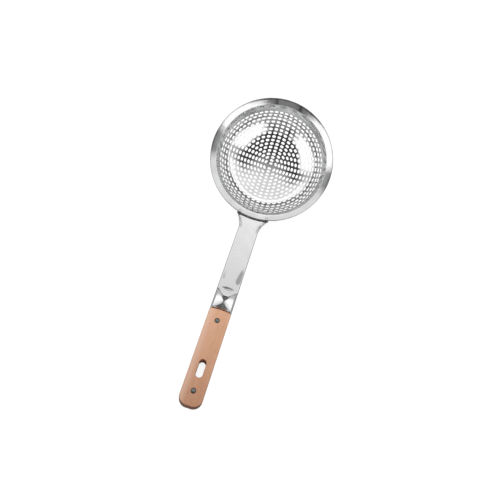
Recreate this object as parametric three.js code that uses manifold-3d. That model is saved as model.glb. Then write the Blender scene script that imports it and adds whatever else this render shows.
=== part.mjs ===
// Strainer skimmer: a perforated steel bowl on a rising steel strap, with a riveted wooden grip.
// It lies as it rests on a table: the bowl's underside and the end of the grip both touch z = 0.
// Millimetres, +Z up, the bowl toward +Y and the grip toward -Y.
import * as THREE from 'three';
import { mergeVertices } from 'three/addons/utils/BufferGeometryUtils.js';
import Module from 'manifold-3d';

const wasm = await Module();
wasm.setup();

const degree = Math.PI / 180;
const fullTurn = 2 * Math.PI;

// Clearance between two pieces that lie on each other
const seatGap = 0.3;

// How far a cut runs past the face that it goes through, and the distance at which corners join
const cutPast = 1;
const joinDistance = 1e-4;

// Bowl: one stamped sheet, a shallow crown, a round knuckle, a short wall and a flange
// that rises outward at the strap's angle
const bowlDiameter = 175;
const bowlSheet = 1;
const flangeWidth = 8.5;
const crownAngle = 13.5 * degree;
const knuckleRadius = 47.8;
const wallAngle = 81 * degree;
const wallLength = 2.5;
const mouthRadius = 1.5;
const hemWidth = 3.5;
const bowlSides = 64;

// Perforation: rings of oblong holes, each ring with four holes more than the one inside it,
// and further apart toward the wall, where the sheet is drawn out
const plainBand = 11;
const firstRingHoles = 2;
const holesAddedPerRing = 4;
const firstRingArc = 3.97;
const ringPitch = 4.7;
const ringStretch = 0.041;
const holeLength = 5.2;
const holeHeight = 3.3;

// Strap: a sheet with turned-down edges, flared where it is welded under the flange
const strapSheet = 1.5;
const strapWidth = 28.6;
const strapDepth = 5;
const strapEdgeRadius = 2.2;
const strapEdgeSteps = 4;
const strapInnerSteps = 2;
const flareWidth = 47.6;
const flareLength = 23;
const flareLip = 0.4;
const padLength = 6;
const flareSteps = 8;
const riseAngle = 26.9 * degree;

// Places along the strap and the grip, from the flange's edge
const tabStart = 114.5;
const tabLength = 9.2;
const tabTipWidth = 6;
const dimplePlace = 110.8;
const gripStart = 144.3;
const gripLength = 121.8;
const upperRivetFromStart = 15.2;
const lowerRivetFromEnd = 18.4;
const slotCentreFromEnd = 45.1;

// Pressed dimple that locks the strap in the tang's window
const dimpleLength = 16;
const dimpleWidth = 4.4;
const dimpleDepth = 0.7;
const dimpleWindowGap = 0.4;

// Tang: a flat sheet under the strap and between the scales, with two folded ears
const tangSheet = 1.5;
const tangLap = 38;
const tangInset = 0.6;
const earHeight = 4;
const earFrontHeight = 0.6;
const earTip = 4.6;
const earSeam = 0.5;
const earMouth = 6.4;
const earPinchShare = 0.45;
const earGap = 0.4;
const earRoundness = 2.4;
const earSteps = 7;

// Grip: two wooden scales with eased edges and a hang slot through both
const gripWidth = 28.6;
const gripThickness = 18.5;
const gripEase = 2;
const gripEaseSteps = 3;
const gripFrontBow = 0.6;
const gripFrontCorner = 3.4;
const gripEndCorner = 11;
const slotLength = 21.7;
const slotWidth = 8.6;

// Cutlery rivets: a pin half from the front, a tube half from the back
const rivetHeadDiameter = 6;
const rivetHeadHeight = 1.2;
const rivetRecess = 0.2;
const rivetCrown = 0.25;
const rivetTubeDiameter = 4.4;
const rivetTubeWall = 0.6;
const roundSides = 12;

// Weld beads at the two corners where the flange meets the strap
const weldSpread = 40;
const weldLength = 3.4;
const weldWidth = 2.8;

// Colours from the photograph, and how rough each surface is
const steelColour = 0xc9cacb;
const woodColour = 0xd2a27e;
const rivetColour = 0x8d9599;
const weldColour = 0x9a9a98;
const bowlRoughness = 0.22;
const strapRoughness = 0.28;
const woodRoughness = 0.6;
const rivetRoughness = 0.35;
const weldRoughness = 0.45;

// Solids from three.js geometry for the boolean steps, and back
function solidOf(geometry) {
  const bare = geometry.clone();
  bare.deleteAttribute('normal');
  bare.deleteAttribute('uv');
  const merged = mergeVertices(bare, joinDistance);
  return new wasm.Manifold(new wasm.Mesh({
    numProp: 3,
    vertProperties: new Float32Array(merged.attributes.position.array),
    triVerts: new Uint32Array(merged.index.array),
  }));
}

function geometryOf(solid) {
  const mesh = solid.getMesh();
  const geometry = new THREE.BufferGeometry();
  geometry.setAttribute('position', new THREE.BufferAttribute(mesh.vertProperties, mesh.numProp));
  geometry.setIndex(new THREE.BufferAttribute(mesh.triVerts, 1));
  geometry.computeVertexNormals();
  return geometry;
}

function geometryFrom(points, triangles) {
  const geometry = new THREE.BufferGeometry();
  geometry.setAttribute('position', new THREE.Float32BufferAttribute(points.flat(), 3));
  geometry.setIndex(triangles.flat());
  geometry.computeVertexNormals();
  return geometry;
}

// A prism of an outline in x and y, between two heights
function prism(shape, low, high, curveSegments = roundSides / 4) {
  const geometry = new THREE.ExtrudeGeometry(shape, {
    depth: high - low,
    bevelEnabled: false,
    curveSegments,
  });
  return geometry.translate(0, 0, low);
}

// A round bar about the z axis at a place along the handle
function roundBar(diameter, low, high, along) {
  const bar = new THREE.CylinderGeometry(diameter / 2, diameter / 2, high - low, roundSides);
  return bar.rotateX(Math.PI / 2).translate(0, -along, (low + high) / 2);
}

// A closed solid through sections that all have the same number of points
function loft(sections) {
  const count = sections[0].length;
  const points = sections.flat();
  const triangles = [];
  for (let s = 0; s < sections.length - 1; s += 1) {
    for (let k = 0; k < count; k += 1) {
      const a = s * count + k;
      const b = s * count + (k + 1) % count;
      triangles.push([a, b, b + count], [a, b + count, a + count]);
    }
  }
  const last = (sections.length - 1) * count;
  const outline = sections[0].map((p) => new THREE.Vector2(p[0], p[2]));
  const outlineLast = sections[sections.length - 1].map((p) => new THREE.Vector2(p[0], p[2]));
  for (const [a, b, c] of THREE.ShapeUtils.triangulateShape(outline, [])) {
    triangles.push([c, b, a]);
  }
  for (const [a, b, c] of THREE.ShapeUtils.triangulateShape(outlineLast, [])) {
    triangles.push([a + last, b + last, c + last]);
  }
  return geometryFrom(points, triangles);
}

const smooth = (t) => THREE.MathUtils.smoothstep(t, 0, 1);

// Bowl meridian: the crown takes up the width that the knuckle, wall and flange leave
const bowlRadius = bowlDiameter / 2;
const mouthReach = bowlRadius - flangeWidth;
const mouthTurn = mouthRadius * (Math.sin(wallAngle) - Math.sin(riseAngle));
const wallReach = wallLength * Math.cos(wallAngle) + mouthTurn;
const knuckleReach = knuckleRadius * (Math.sin(wallAngle) - Math.sin(crownAngle));
const crownRadius = (mouthReach - wallReach - knuckleReach) / Math.sin(crownAngle);
const crownArc = crownRadius * crownAngle;
const knuckleArc = crownArc + knuckleRadius * (wallAngle - crownAngle);

// As many rings of holes as the sheet has room for below its plain band
const ringArc = (n) => firstRingArc + ringPitch * n + ringStretch * n ** 2;
let ringCount = 1;
while (ringArc(ringCount) + holeHeight / 2 < knuckleArc - plainBand) {
  ringCount += 1;
}

// Radius and height over the lowest inner point, by arc length and depth in the sheet
function meridian(arc, depthInSheet) {
  const onCrown = Math.min(arc, crownArc) / crownRadius;
  const slope = arc > crownArc ? crownAngle + (arc - crownArc) / knuckleRadius : onCrown;
  let radius = crownRadius * Math.sin(onCrown);
  let height = crownRadius * (1 - Math.cos(onCrown));
  if (arc > crownArc) {
    radius += knuckleRadius * (Math.sin(slope) - Math.sin(crownAngle));
    height += knuckleRadius * (Math.cos(crownAngle) - Math.cos(slope));
  }
  return {
    radius: radius + depthInSheet * Math.sin(slope),
    height: height - depthInSheet * Math.cos(slope),
  };
}

// The wall above the knuckle, and the centre of the round between wall and flange
const knuckleEnd = meridian(knuckleArc, 0);
const wallTop = {
  radius: knuckleEnd.radius + wallLength * Math.cos(wallAngle),
  height: knuckleEnd.height + wallLength * Math.sin(wallAngle),
};
const mouth = {
  radius: wallTop.radius + mouthRadius * Math.sin(wallAngle),
  height: wallTop.height - mouthRadius * Math.cos(wallAngle),
};
const hemThickness = 2 * bowlSheet;
const hemRound = hemThickness / 2;

function mouthPoint(angle, depthInSheet) {
  const reach = mouthRadius - depthInSheet;
  return {
    radius: mouth.radius - reach * Math.sin(angle),
    height: mouth.height + reach * Math.cos(angle),
  };
}

// A point on the rising flange, by distance out from the mouth and depth in the sheet
function flangePoint(out, depthInSheet) {
  const start = mouthPoint(riseAngle, depthInSheet);
  return {
    radius: start.radius + out * Math.cos(riseAngle),
    height: start.height + out * Math.sin(riseAngle),
  };
}

// The hem's round edge sets the bowl's diameter, and the rim's top is the bowl's zero height
const hemMiddle = mouthPoint(riseAngle, hemRound).radius;
const flangeEdge = (bowlRadius - hemMiddle) / Math.cos(riseAngle);
const flangeFlat = flangeEdge - hemRound;
const hemInner = flangeEdge - hemWidth;
const rimHeight = flangePoint(flangeFlat, 0).height;

// Plain part of the bowl's section, from the top of the knuckle out over the hem and back below
const plainSection = [
  meridian(knuckleArc, 0),
  mouthPoint(wallAngle, 0),
  mouthPoint((wallAngle + riseAngle) / 2, 0),
  flangePoint(0, 0),
  flangePoint(flangeFlat, 0),
  flangePoint(flangeEdge, hemRound),
  flangePoint(flangeFlat, hemThickness),
  flangePoint(hemInner, hemThickness),
  flangePoint(hemInner, bowlSheet),
  flangePoint(0, bowlSheet),
  mouthPoint(wallAngle, bowlSheet),
  meridian(knuckleArc, bowlSheet),
];

// The perforated sheet: every ring of holes has its corners on an inner and an outer circle
function perforatedBowl() {
  const points = [];
  const triangles = [];

  function circle(place, angles) {
    const first = points.length;
    for (const angle of angles) {
      points.push([
        place.radius * Math.sin(angle),
        place.radius * Math.cos(angle),
        place.height - rimHeight,
      ]);
    }
    return { angles, first, count: angles.length };
  }

  function corner(ring, k) {
    return ring.first + k % ring.count;
  }

  function angleAt(ring, k) {
    return ring.angles[k % ring.count] + (k >= ring.count ? fullTurn : 0);
  }

  // A band of triangles between two circles, with any number of corners on each
  function band(from, to) {
    let i = 0;
    let j = 0;
    while (i < from.count || j < to.count) {
      const stepFrom = j === to.count
        || (i < from.count && angleAt(from, i + 1) <= angleAt(to, j + 1));
      if (stepFrom) {
        triangles.push([corner(from, i), corner(from, i + 1), corner(to, j)]);
        i += 1;
      } else {
        triangles.push([corner(from, i), corner(to, j + 1), corner(to, j)]);
        j += 1;
      }
    }
  }

  function quad(a, b, c, d) {
    triangles.push([a, b, c], [a, c, d]);
  }

  // Corners of the holes on both faces of the sheet
  const rings = [];
  for (let n = 0; n < ringCount; n += 1) {
    const holes = firstRingHoles + n * holesAddedPerRing;
    const arc = ringArc(n);
    const halfAngle = holeLength / 2 / meridian(arc, 0).radius;
    const angles = [];
    for (let h = 0; h < holes; h += 1) {
      const centre = h * fullTurn / holes;
      angles.push(centre - halfAngle, centre + halfAngle);
    }
    rings.push({
      holes,
      topIn: circle(meridian(arc - holeHeight / 2, 0), angles),
      topOut: circle(meridian(arc + holeHeight / 2, 0), angles),
      lowIn: circle(meridian(arc - holeHeight / 2, bowlSheet), angles),
      lowOut: circle(meridian(arc + holeHeight / 2, bowlSheet), angles),
    });
  }

  // Middle of the crown, inside the first ring
  const { topIn, lowIn } = rings[0];
  for (let k = 1; k < topIn.count - 1; k += 1) {
    triangles.push([corner(topIn, 0), corner(topIn, k + 1), corner(topIn, k)]);
    triangles.push([corner(lowIn, 0), corner(lowIn, k), corner(lowIn, k + 1)]);
  }

  // Hole walls, bridges between neighbours in a ring, and bands to the next ring
  rings.forEach((ring, n) => {
    for (let h = 0; h < ring.holes; h += 1) {
      const left = 2 * h;
      const right = left + 1;
      const next = left + 2;
      const at = (side, k) => corner(ring[side], k);
      quad(at('topIn', left), at('topIn', right), at('lowIn', right), at('lowIn', left));
      quad(at('topOut', right), at('topOut', left), at('lowOut', left), at('lowOut', right));
      quad(at('topIn', right), at('topOut', right), at('lowOut', right), at('lowIn', right));
      quad(at('topOut', left), at('topIn', left), at('lowIn', left), at('lowOut', left));
      quad(at('topIn', right), at('topIn', next), at('topOut', next), at('topOut', right));
      quad(at('lowIn', right), at('lowOut', right), at('lowOut', next), at('lowIn', next));
    }
    if (n + 1 < ringCount) {
      band(ring.topOut, rings[n + 1].topIn);
      band(rings[n + 1].lowIn, ring.lowOut);
    }
  });

  // Plain wall, flange and hem
  const even = Array.from({ length: bowlSides }, (_, k) => k * fullTurn / bowlSides);
  const plain = plainSection.map((place) => circle(place, even));
  const outermost = rings[ringCount - 1];
  band(outermost.topOut, plain[0]);
  for (let k = 0; k + 1 < plain.length; k += 1) {
    band(plain[k], plain[k + 1]);
  }
  band(plain[plain.length - 1], outermost.lowOut);
  return geometryFrom(points, triangles);
}

// Frame of the strap and the grip: its origin is on the strap's upper face, at the flange's edge
const strapSeat = flangePoint(flangeEdge, hemThickness + seatGap);
const strapLevel = strapSeat.height - rimHeight;
const toolToHandle = new THREE.Matrix4().makeRotationX(-riseAngle)
  .setPosition(0, -strapSeat.radius, strapLevel)
  .invert();

// Half width and edge depth of the strap, by distance from the flange's edge
function strapHalfWidth(along) {
  const t = THREE.MathUtils.clamp(along / flareLength, 0, 1);
  const opened = (1 - t) ** 2;
  return strapWidth / 2 + (flareWidth - strapWidth) / 2 * opened;
}

function strapEdgeDepth(along) {
  const t = smooth(along / flareLength);
  return strapSheet + flareLip + (strapDepth - strapSheet - flareLip) * t;
}

// Section across the strap: a flat top, rounded edges and turned-down sides
function strapSection(along) {
  const half = strapHalfWidth(along);
  const depth = strapEdgeDepth(along);
  const outerRound = Math.min(strapEdgeRadius, depth - flareLip / 2);
  const innerRound = Math.max(outerRound - strapSheet, flareLip / 4);
  const side = [[half, -depth]];
  for (let k = 0; k <= strapEdgeSteps; k += 1) {
    const angle = k / strapEdgeSteps * Math.PI / 2;
    side.push([
      half - outerRound + outerRound * Math.cos(angle),
      -outerRound + outerRound * Math.sin(angle),
    ]);
  }
  const innerSide = [];
  for (let k = strapInnerSteps; k >= 0; k -= 1) {
    const angle = k / strapInnerSteps * Math.PI / 2;
    innerSide.push([
      half - strapSheet - innerRound + innerRound * Math.cos(angle),
      -strapSheet - innerRound + innerRound * Math.sin(angle),
    ]);
  }
  innerSide.push([half - strapSheet, -depth]);
  const mirror = (list) => list.map(([x, z]) => [-x, z]).reverse();
  const outline = [...side, ...mirror(side), ...mirror(innerSide), ...innerSide];
  return outline.map(([across, up]) => [across, -along, up]);
}

// Outline of the tapered tab, wider by a margin, with its sides drawn on toward the bowl
const tabTaper = 2 * tabLength / (strapWidth - tabTipWidth);

function tabOutline(margin, back) {
  const tip = tabTipWidth / 2;
  const outward = strapWidth / 2 + strapSheet;
  const along = margin * Math.hypot(1, tabTaper);
  const outwardEnd = tabStart - strapSheet * tabTaper + along;
  const tipEnd = tabStart + tabLength + margin;
  const tipHalf = tip + (along - margin) / tabTaper;
  const shape = new THREE.Shape();
  shape.moveTo(-outward, -back);
  shape.lineTo(-outward, -outwardEnd);
  shape.lineTo(-tipHalf, -tipEnd);
  shape.lineTo(tipHalf, -tipEnd);
  shape.lineTo(outward, -outwardEnd);
  shape.lineTo(outward, -back);
  return shape;
}

function dimpleSolid(extra, depth) {
  const ball = new THREE.SphereGeometry(1, roundSides, roundSides / 2);
  ball.rotateX(Math.PI / 2);
  ball.scale(dimpleLength / 2 + extra, dimpleWidth / 2 + extra, depth);
  return ball.translate(0, -dimplePlace, 0);
}

function neckStrap() {
  const along = [-padLength - hemWidth];
  for (let k = 0; k <= flareSteps; k += 1) {
    along.push(flareLength * k / flareSteps);
  }
  along.push(tabStart + 2 * tabLength);
  const bar = solidOf(loft(along.map(strapSection)));
  const seatRadius = bowlRadius - padLength;
  const bowlSeat = new THREE.CylinderGeometry(seatRadius, seatRadius, bowlDiameter, 2 * bowlSides);
  bowlSeat.rotateX(Math.PI / 2).applyMatrix4(toolToHandle);
  const tabRoom = prism(tabOutline(0, flareLength / 2), -2 * strapDepth, strapDepth);
  const flareRoom = new THREE.BoxGeometry(2 * flareWidth, 2 * flareLength, 4 * strapDepth);
  const kept = solidOf(tabRoom).add(solidOf(flareRoom));
  const pressed = dimpleSolid(0, dimpleDepth);
  const bulge = solidOf(dimpleSolid(strapSheet / 2, dimpleDepth + strapSheet));
  const below = new THREE.BoxGeometry(strapWidth, strapWidth, strapDepth);
  below.translate(0, -dimplePlace, -strapDepth / 2 - strapSheet / 2);
  const backing = bulge.intersect(solidOf(below));
  return geometryOf(
    bar.subtract(solidOf(bowlSeat))
      .intersect(kept)
      .add(backing)
      .subtract(solidOf(pressed)),
  );
}

// Levels across the grip, measured from the strap's upper face
const tangTop = -strapSheet - seatGap;
const tangLow = tangTop - tangSheet;
const gripMiddle = (tangTop + tangLow) / 2;
const gripTop = gripMiddle + gripThickness / 2;
const gripLow = gripMiddle - gripThickness / 2;
const gripEnd = gripStart + gripLength;
const upperRivetPlace = gripStart + upperRivetFromStart;
const lowerRivetPlace = gripEnd - lowerRivetFromEnd;
const slotPlace = gripEnd - slotCentreFromEnd;
const rivetHole = rivetTubeDiameter + 2 * seatGap;
const rivetSeat = rivetHeadDiameter + 2 * seatGap;

// Outline of the grip: a bowed front edge, straight sides and a round-cornered end
function gripOutline(inset) {
  const half = gripWidth / 2 - inset;
  const front = -gripStart - inset;
  const end = -gripEnd + inset;
  const corner = gripEndCorner - inset;
  const shoulder = half - gripFrontCorner;
  const shape = new THREE.Shape();
  shape.moveTo(-half, front - gripFrontBow - gripFrontCorner);
  shape.quadraticCurveTo(-half, front - gripFrontBow, -shoulder, front - gripFrontBow);
  shape.quadraticCurveTo(0, front + gripFrontBow, shoulder, front - gripFrontBow);
  shape.quadraticCurveTo(half, front - gripFrontBow, half, front - gripFrontBow - gripFrontCorner);
  shape.lineTo(half, end + corner);
  shape.absarc(half - corner, end + corner, corner, 0, -Math.PI / 2, true);
  shape.lineTo(-half + corner, end);
  shape.absarc(-half + corner, end + corner, corner, -Math.PI / 2, -Math.PI, true);
  shape.closePath();
  return shape;
}

function slotOutline(margin) {
  const radius = slotWidth / 2 + margin;
  const reach = (slotLength - slotWidth) / 2;
  const shape = new THREE.Shape();
  shape.moveTo(radius, -slotPlace - reach);
  shape.lineTo(radius, -slotPlace + reach);
  shape.absarc(0, -slotPlace + reach, radius, 0, Math.PI, false);
  shape.lineTo(-radius, -slotPlace - reach);
  shape.absarc(0, -slotPlace - reach, radius, Math.PI, fullTurn, false);
  return shape;
}

function gripBlock() {
  const block = new THREE.ExtrudeGeometry(gripOutline(0), {
    depth: gripThickness - 2 * gripEase,
    bevelThickness: gripEase,
    bevelSize: gripEase,
    bevelOffset: -gripEase,
    bevelSegments: gripEaseSteps,
    curveSegments: roundSides / 4,
  });
  return block.translate(0, 0, gripLow + gripEase);
}

// One scale: the part of the grip on one side of the tang, with its slot and rivet seats
function scale(low, high, faceLow, faceHigh) {
  const room = new THREE.BoxGeometry(2 * gripWidth, 2 * gripLength, high - low);
  room.translate(0, -gripStart - gripLength / 2, (low + high) / 2);
  let solid = solidOf(gripBlock()).intersect(solidOf(room));
  solid = solid.subtract(solidOf(prism(slotOutline(0), gripLow - gripEase, gripTop + gripEase)));
  for (const place of [upperRivetPlace, lowerRivetPlace]) {
    solid = solid.subtract(solidOf(roundBar(rivetHole, gripLow - cutPast, gripTop + cutPast, place)));
    solid = solid.subtract(solidOf(roundBar(rivetSeat, faceLow, faceHigh, place)));
  }
  return geometryOf(solid);
}

// Ear of the tang: a fold beside the tab. The two ears almost meet halfway to the wood.
function earSolid(sign) {
  const half = strapWidth / 2;
  const tipEnd = tabStart + tabLength;
  const pinch = THREE.MathUtils.lerp(tipEnd, gripStart, earPinchShare);
  const closing = (tipEnd + pinch) / 2;
  const opening = (pinch + gripStart) / 2;
  const risen = (along) => earHeight * smooth((along - tabStart) / (pinch - tabStart));
  const stations = [
    [tabStart, earTip, risen(tabStart)],
    [tipEnd, earTip, risen(tipEnd)],
    [closing, (earTip + earSeam) / 2, risen(closing)],
    [pinch, earSeam, earHeight],
    [opening, (earSeam + earMouth) / 2, (earHeight + earFrontHeight) / 2],
    [gripStart, earMouth, earFrontHeight],
  ];
  const sections = stations.map(([along, inner, crest]) => {
    const middle = (inner + half) / 2;
    const section = [];
    for (let k = 0; k <= earSteps; k += 1) {
      const angle = Math.PI * k / earSteps;
      const up = Math.sin(angle) ** (2 / earRoundness);
      const across = middle + (half - middle) * Math.cos(angle);
      section.push([sign * across, -along, tangLow + (crest - tangLow) * up]);
    }
    return sign > 0 ? section : section.reverse();
  });
  return solidOf(loft(sections));
}

function handleTang() {
  const lapHalf = strapWidth / 2 - strapSheet - seatGap;
  const neckHalf = strapWidth / 2 - earGap / 4;
  const lapStart = tabStart - tangLap;
  const lapEnd = tabStart + (strapWidth / 2 - lapHalf) * tabTaper + earGap;
  const outline = new THREE.Shape();
  outline.moveTo(-lapHalf, -lapStart);
  outline.lineTo(-lapHalf, -lapEnd);
  outline.lineTo(-neckHalf, -lapEnd);
  outline.lineTo(-neckHalf, -gripStart - gripWidth / 2);
  outline.lineTo(neckHalf, -gripStart - gripWidth / 2);
  outline.lineTo(neckHalf, -lapEnd);
  outline.lineTo(lapHalf, -lapEnd);
  outline.lineTo(lapHalf, -lapStart);
  const cutLow = tangLow - cutPast;
  const cutTop = tangTop + cutPast;
  let plate = solidOf(prism(outline, tangLow, tangTop));
  plate = plate.add(solidOf(prism(gripOutline(tangInset), tangLow, tangTop)));
  let ears = earSolid(1).add(earSolid(-1));
  ears = ears.subtract(solidOf(prism(tabOutline(earGap, 0), cutLow, gripTop)));
  ears = ears.subtract(solidOf(prism(gripOutline(-earGap), tangTop, gripTop)));
  let solid = plate.add(ears);
  const window = new THREE.Shape();
  window.absellipse(
    0,
    -dimplePlace,
    dimpleLength / 2 + strapSheet + dimpleWindowGap,
    dimpleWidth / 2 + strapSheet + dimpleWindowGap,
    0,
    fullTurn,
  );
  solid = solid.subtract(solidOf(prism(window, cutLow, cutTop)));
  solid = solid.subtract(solidOf(prism(slotOutline(tangInset), cutLow, cutTop)));
  for (const place of [upperRivetPlace, lowerRivetPlace]) {
    solid = solid.subtract(solidOf(roundBar(rivetHole, cutLow, cutTop, place)));
  }
  return geometryOf(solid);
}

// Rivet halves, turned about their axis: heights run from the inside of the head outward
const headTop = gripTop - rivetRecess;
const headLow = gripLow + rivetRecess;
const rivetBore = rivetTubeDiameter - 2 * rivetTubeWall;
const pinDiameter = rivetBore - 2 * seatGap;
const tubeEnd = headTop - rivetHeadHeight - seatGap;
const boreFloor = headLow + rivetHeadHeight;

function turned(profile, place) {
  const points = profile.map(([radius, height]) => new THREE.Vector2(radius, height));
  const geometry = new THREE.LatheGeometry(points, roundSides);
  return geometry.rotateX(Math.PI / 2).translate(0, -place, 0);
}

function rivetPin(place) {
  return turned([
    [0, boreFloor + seatGap],
    [pinDiameter / 2, boreFloor + seatGap],
    [pinDiameter / 2, headTop - rivetHeadHeight],
    [rivetHeadDiameter / 2, headTop - rivetHeadHeight],
    [rivetHeadDiameter / 2, headTop - rivetCrown],
    [rivetHeadDiameter / 4, headTop - rivetCrown / 4],
    [0, headTop],
  ], place);
}

function rivetTube(place) {
  return turned([
    [0, headLow],
    [rivetHeadDiameter / 4, headLow + rivetCrown / 4],
    [rivetHeadDiameter / 2, headLow + rivetCrown],
    [rivetHeadDiameter / 2, boreFloor],
    [rivetTubeDiameter / 2, boreFloor],
    [rivetTubeDiameter / 2, tubeEnd],
    [rivetBore / 2, tubeEnd],
    [rivetBore / 2, boreFloor],
    [0, boreFloor],
  ], place);
}

// Weld bead in the corner between the flange's edge and the strap, lying on the strap
function rimWeld(side) {
  const height = hemThickness - seatGap;
  const bead = new THREE.SphereGeometry(1, roundSides / 2 + 2, roundSides / 2 - 2);
  bead.rotateX(Math.PI / 2).scale(weldLength / 2, weldWidth / 2, height / 2);
  const reach = bowlRadius + seatGap + weldWidth / 2;
  const turn = Math.asin(weldSpread / 2 / reach);
  const strapBelow = strapLevel + (reach * Math.cos(turn) - strapSeat.radius) * Math.tan(riseAngle);
  const level = strapBelow + (seatGap + height / 2) / Math.cos(riseAngle);
  bead.rotateX(-riseAngle).translate(0, -reach, level);
  return bead.rotateZ(side * turn);
}

function material(color, roughness, metalness) {
  return new THREE.MeshStandardMaterial({ color, roughness, metalness });
}

function piece(name, geometry, look) {
  const mesh = new THREE.Mesh(geometry, look);
  mesh.name = name;
  return mesh;
}

const seatDepth = rivetRecess + rivetHeadHeight + seatGap;
const tool = new THREE.Group();
const handle = new THREE.Group();
handle.position.set(0, -strapSeat.radius, strapLevel);
handle.rotation.x = -riseAngle;
tool.add(handle);

const bowlSteel = material(steelColour, bowlRoughness, 1);
const strapSteel = material(steelColour, strapRoughness, 1);
const rivetSteel = material(rivetColour, rivetRoughness, 1);
const weldSteel = material(weldColour, weldRoughness, 1);
const beech = material(woodColour, woodRoughness, 0);
const overTop = gripTop + cutPast;
const underLow = gripLow - cutPast;
const frontScale = scale(tangTop + seatGap, overTop, gripTop - seatDepth, overTop);
const backScale = scale(underLow, tangLow - seatGap, underLow, gripLow + seatDepth);

tool.add(piece('strainer_bowl', perforatedBowl(), bowlSteel));
handle.add(piece('neck_strap', neckStrap(), strapSteel));
tool.add(piece('rim_weld_left', rimWeld(-1), weldSteel));
tool.add(piece('rim_weld_right', rimWeld(1), weldSteel));
handle.add(piece('handle_tang', handleTang(), strapSteel));
handle.add(piece('front_scale', frontScale, beech));
handle.add(piece('back_scale', backScale, beech));
for (const [name, place] of [['upper_rivet', upperRivetPlace], ['lower_rivet', lowerRivetPlace]]) {
  handle.add(piece(name, rivetPin(place), rivetSteel));
  handle.add(piece(`${name}_cap`, rivetTube(place), rivetSteel));
}

// Rest on the table: turn the tool until the bowl and the grip's end are equally low
function lowest(object) {
  object.updateWorldMatrix(true, true);
  return new THREE.Box3().setFromObject(object, true).min.z;
}

const bowlMesh = tool.getObjectByName('strainer_bowl');
const restSteps = 40;
let flat = 0;
let steep = 2 * riseAngle;
for (let step = 0; step < restSteps; step += 1) {
  tool.rotation.x = (flat + steep) / 2;
  if (lowest(handle) > lowest(bowlMesh)) {
    flat = tool.rotation.x;
  } else {
    steep = tool.rotation.x;
  }
}

// The origin is under the middle of the tool, on the table
const skimmer = new THREE.Group();
skimmer.add(tool);
skimmer.updateMatrixWorld(true);
const box = new THREE.Box3().setFromObject(skimmer, true);
const centre = box.getCenter(new THREE.Vector3());
tool.position.set(-centre.x, -centre.y, -box.min.z);
skimmer.updateMatrixWorld(true);

export default skimmer;
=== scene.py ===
# Strainer skimmer: fine pieces, materials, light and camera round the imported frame.
# Lengths are in millimetres until a piece is placed, and in metres after that.
import math

import bmesh
import bpy
from mathutils import Matrix, Vector, noise
from mathutils.geometry import tessellate_polygon


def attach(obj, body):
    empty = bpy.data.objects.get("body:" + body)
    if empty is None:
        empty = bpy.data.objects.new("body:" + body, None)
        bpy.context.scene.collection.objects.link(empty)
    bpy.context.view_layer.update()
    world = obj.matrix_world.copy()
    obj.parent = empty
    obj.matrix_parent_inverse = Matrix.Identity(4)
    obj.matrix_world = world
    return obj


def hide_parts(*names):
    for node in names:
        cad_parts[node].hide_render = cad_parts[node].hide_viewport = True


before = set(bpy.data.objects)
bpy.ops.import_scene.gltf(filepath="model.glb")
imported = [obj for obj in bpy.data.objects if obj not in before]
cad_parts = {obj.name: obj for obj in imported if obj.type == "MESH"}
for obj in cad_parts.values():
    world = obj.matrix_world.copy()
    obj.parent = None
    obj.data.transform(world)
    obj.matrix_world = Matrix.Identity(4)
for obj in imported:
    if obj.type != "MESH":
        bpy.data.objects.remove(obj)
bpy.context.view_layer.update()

MM = 0.001
SEAT_GAP = 0.3
EASE_STEPS = 8
OVAL_STEPS = 40

# Clean-up of each mesh: corners that are one, edges that go, and folds that stay sharp
MERGE_REACH = 0.004
THIN_EDGE = 0.002
SHARP_ANGLE = math.radians(32)

# Place of the tool on the table: its own frame has the rim's top at z = 0 and the bowl about z
REST_TILT = math.atan2(0.478567, 0.878051)
REST_PLACE = (0.0, 132.70317, 63.15219)

# Bowl
BOWL_RADIUS = 87.5
BOWL_SHEET = 0.95
FLANGE_WIDTH = 8.5
CROWN_ANGLE = math.radians(13.5)
KNUCKLE_RADIUS = 47.8
WALL_ANGLE = math.radians(81)
WALL_LENGTH = 2.5
MOUTH_RADIUS = 1.5
HEM_WIDTH = 3.5
HEM_ROUND = 1.0
HEM_SET_BACK = 0.31
RISE = math.radians(26.9)
WALL_STEPS = 5
ROUND_STEPS = 6
FLANGE_STEPS = 3

# Holes
RING_COUNT = 16
FIRST_RING_HOLES = 2
HOLES_ADDED = 4
FIRST_RING_ARC = 3.97
RING_PITCH = 4.7
RING_STRETCH = 0.041
HOLE_HALF_LENGTH = 2.6
HOLE_HALF_HEIGHT = 1.65
HOLE_CORNER = 1.3
HOLE_EASE = 0.12
CELL_MARGIN = 0.6
CELL_SIDE = 0.4
CELL_CORNERS = 4

# Strap
STRAP_SHEET = 1.5
STRAP_HALF = 14.3
STRAP_DEPTH = 5.0
STRAP_ROUND = 2.2
FLARE_HALF = 23.6
FLARE_START = -3.8
FLARE_LENGTH = 21.5
FLARE_LIP = 0.4
PAD_LENGTH = 6.0
TAB_START = 113.5
TAB_LENGTH = 9.2
TAB_TIP_HALF = 3.0
TAB_TAPER = TAB_LENGTH / (STRAP_HALF - TAB_TIP_HALF)
TAB_CORNER = 1.0
DIMPLE_PLACE = 112.6
DIMPLE_HALF_LENGTH = 9.4
DIMPLE_HALF_WIDTH = 2.9
DIMPLE_DEPTH = 1.15
DIMPLE_LEAN = 0.07
STRAP_COLUMNS = 40
GROOVE_STATIONS = 12
FLARE_STATIONS = 22
PLAIN_STATIONS = 16
PRESSED_STATIONS = 60
PRESSED_REACH = 30
TAB_STATIONS = 12
TAB_STEP = 0.02
TAB_SIDE_SHARE = 0.4
TAB_TIP_SHARES = (0.7, 0.45, 0.25, 0.1, 0.02, 0.0)
PAD_SHARES = (0, 0.2, 0.4, 0.55, 0.65, 0.72, 0.79, 0.86, 0.93)

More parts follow.
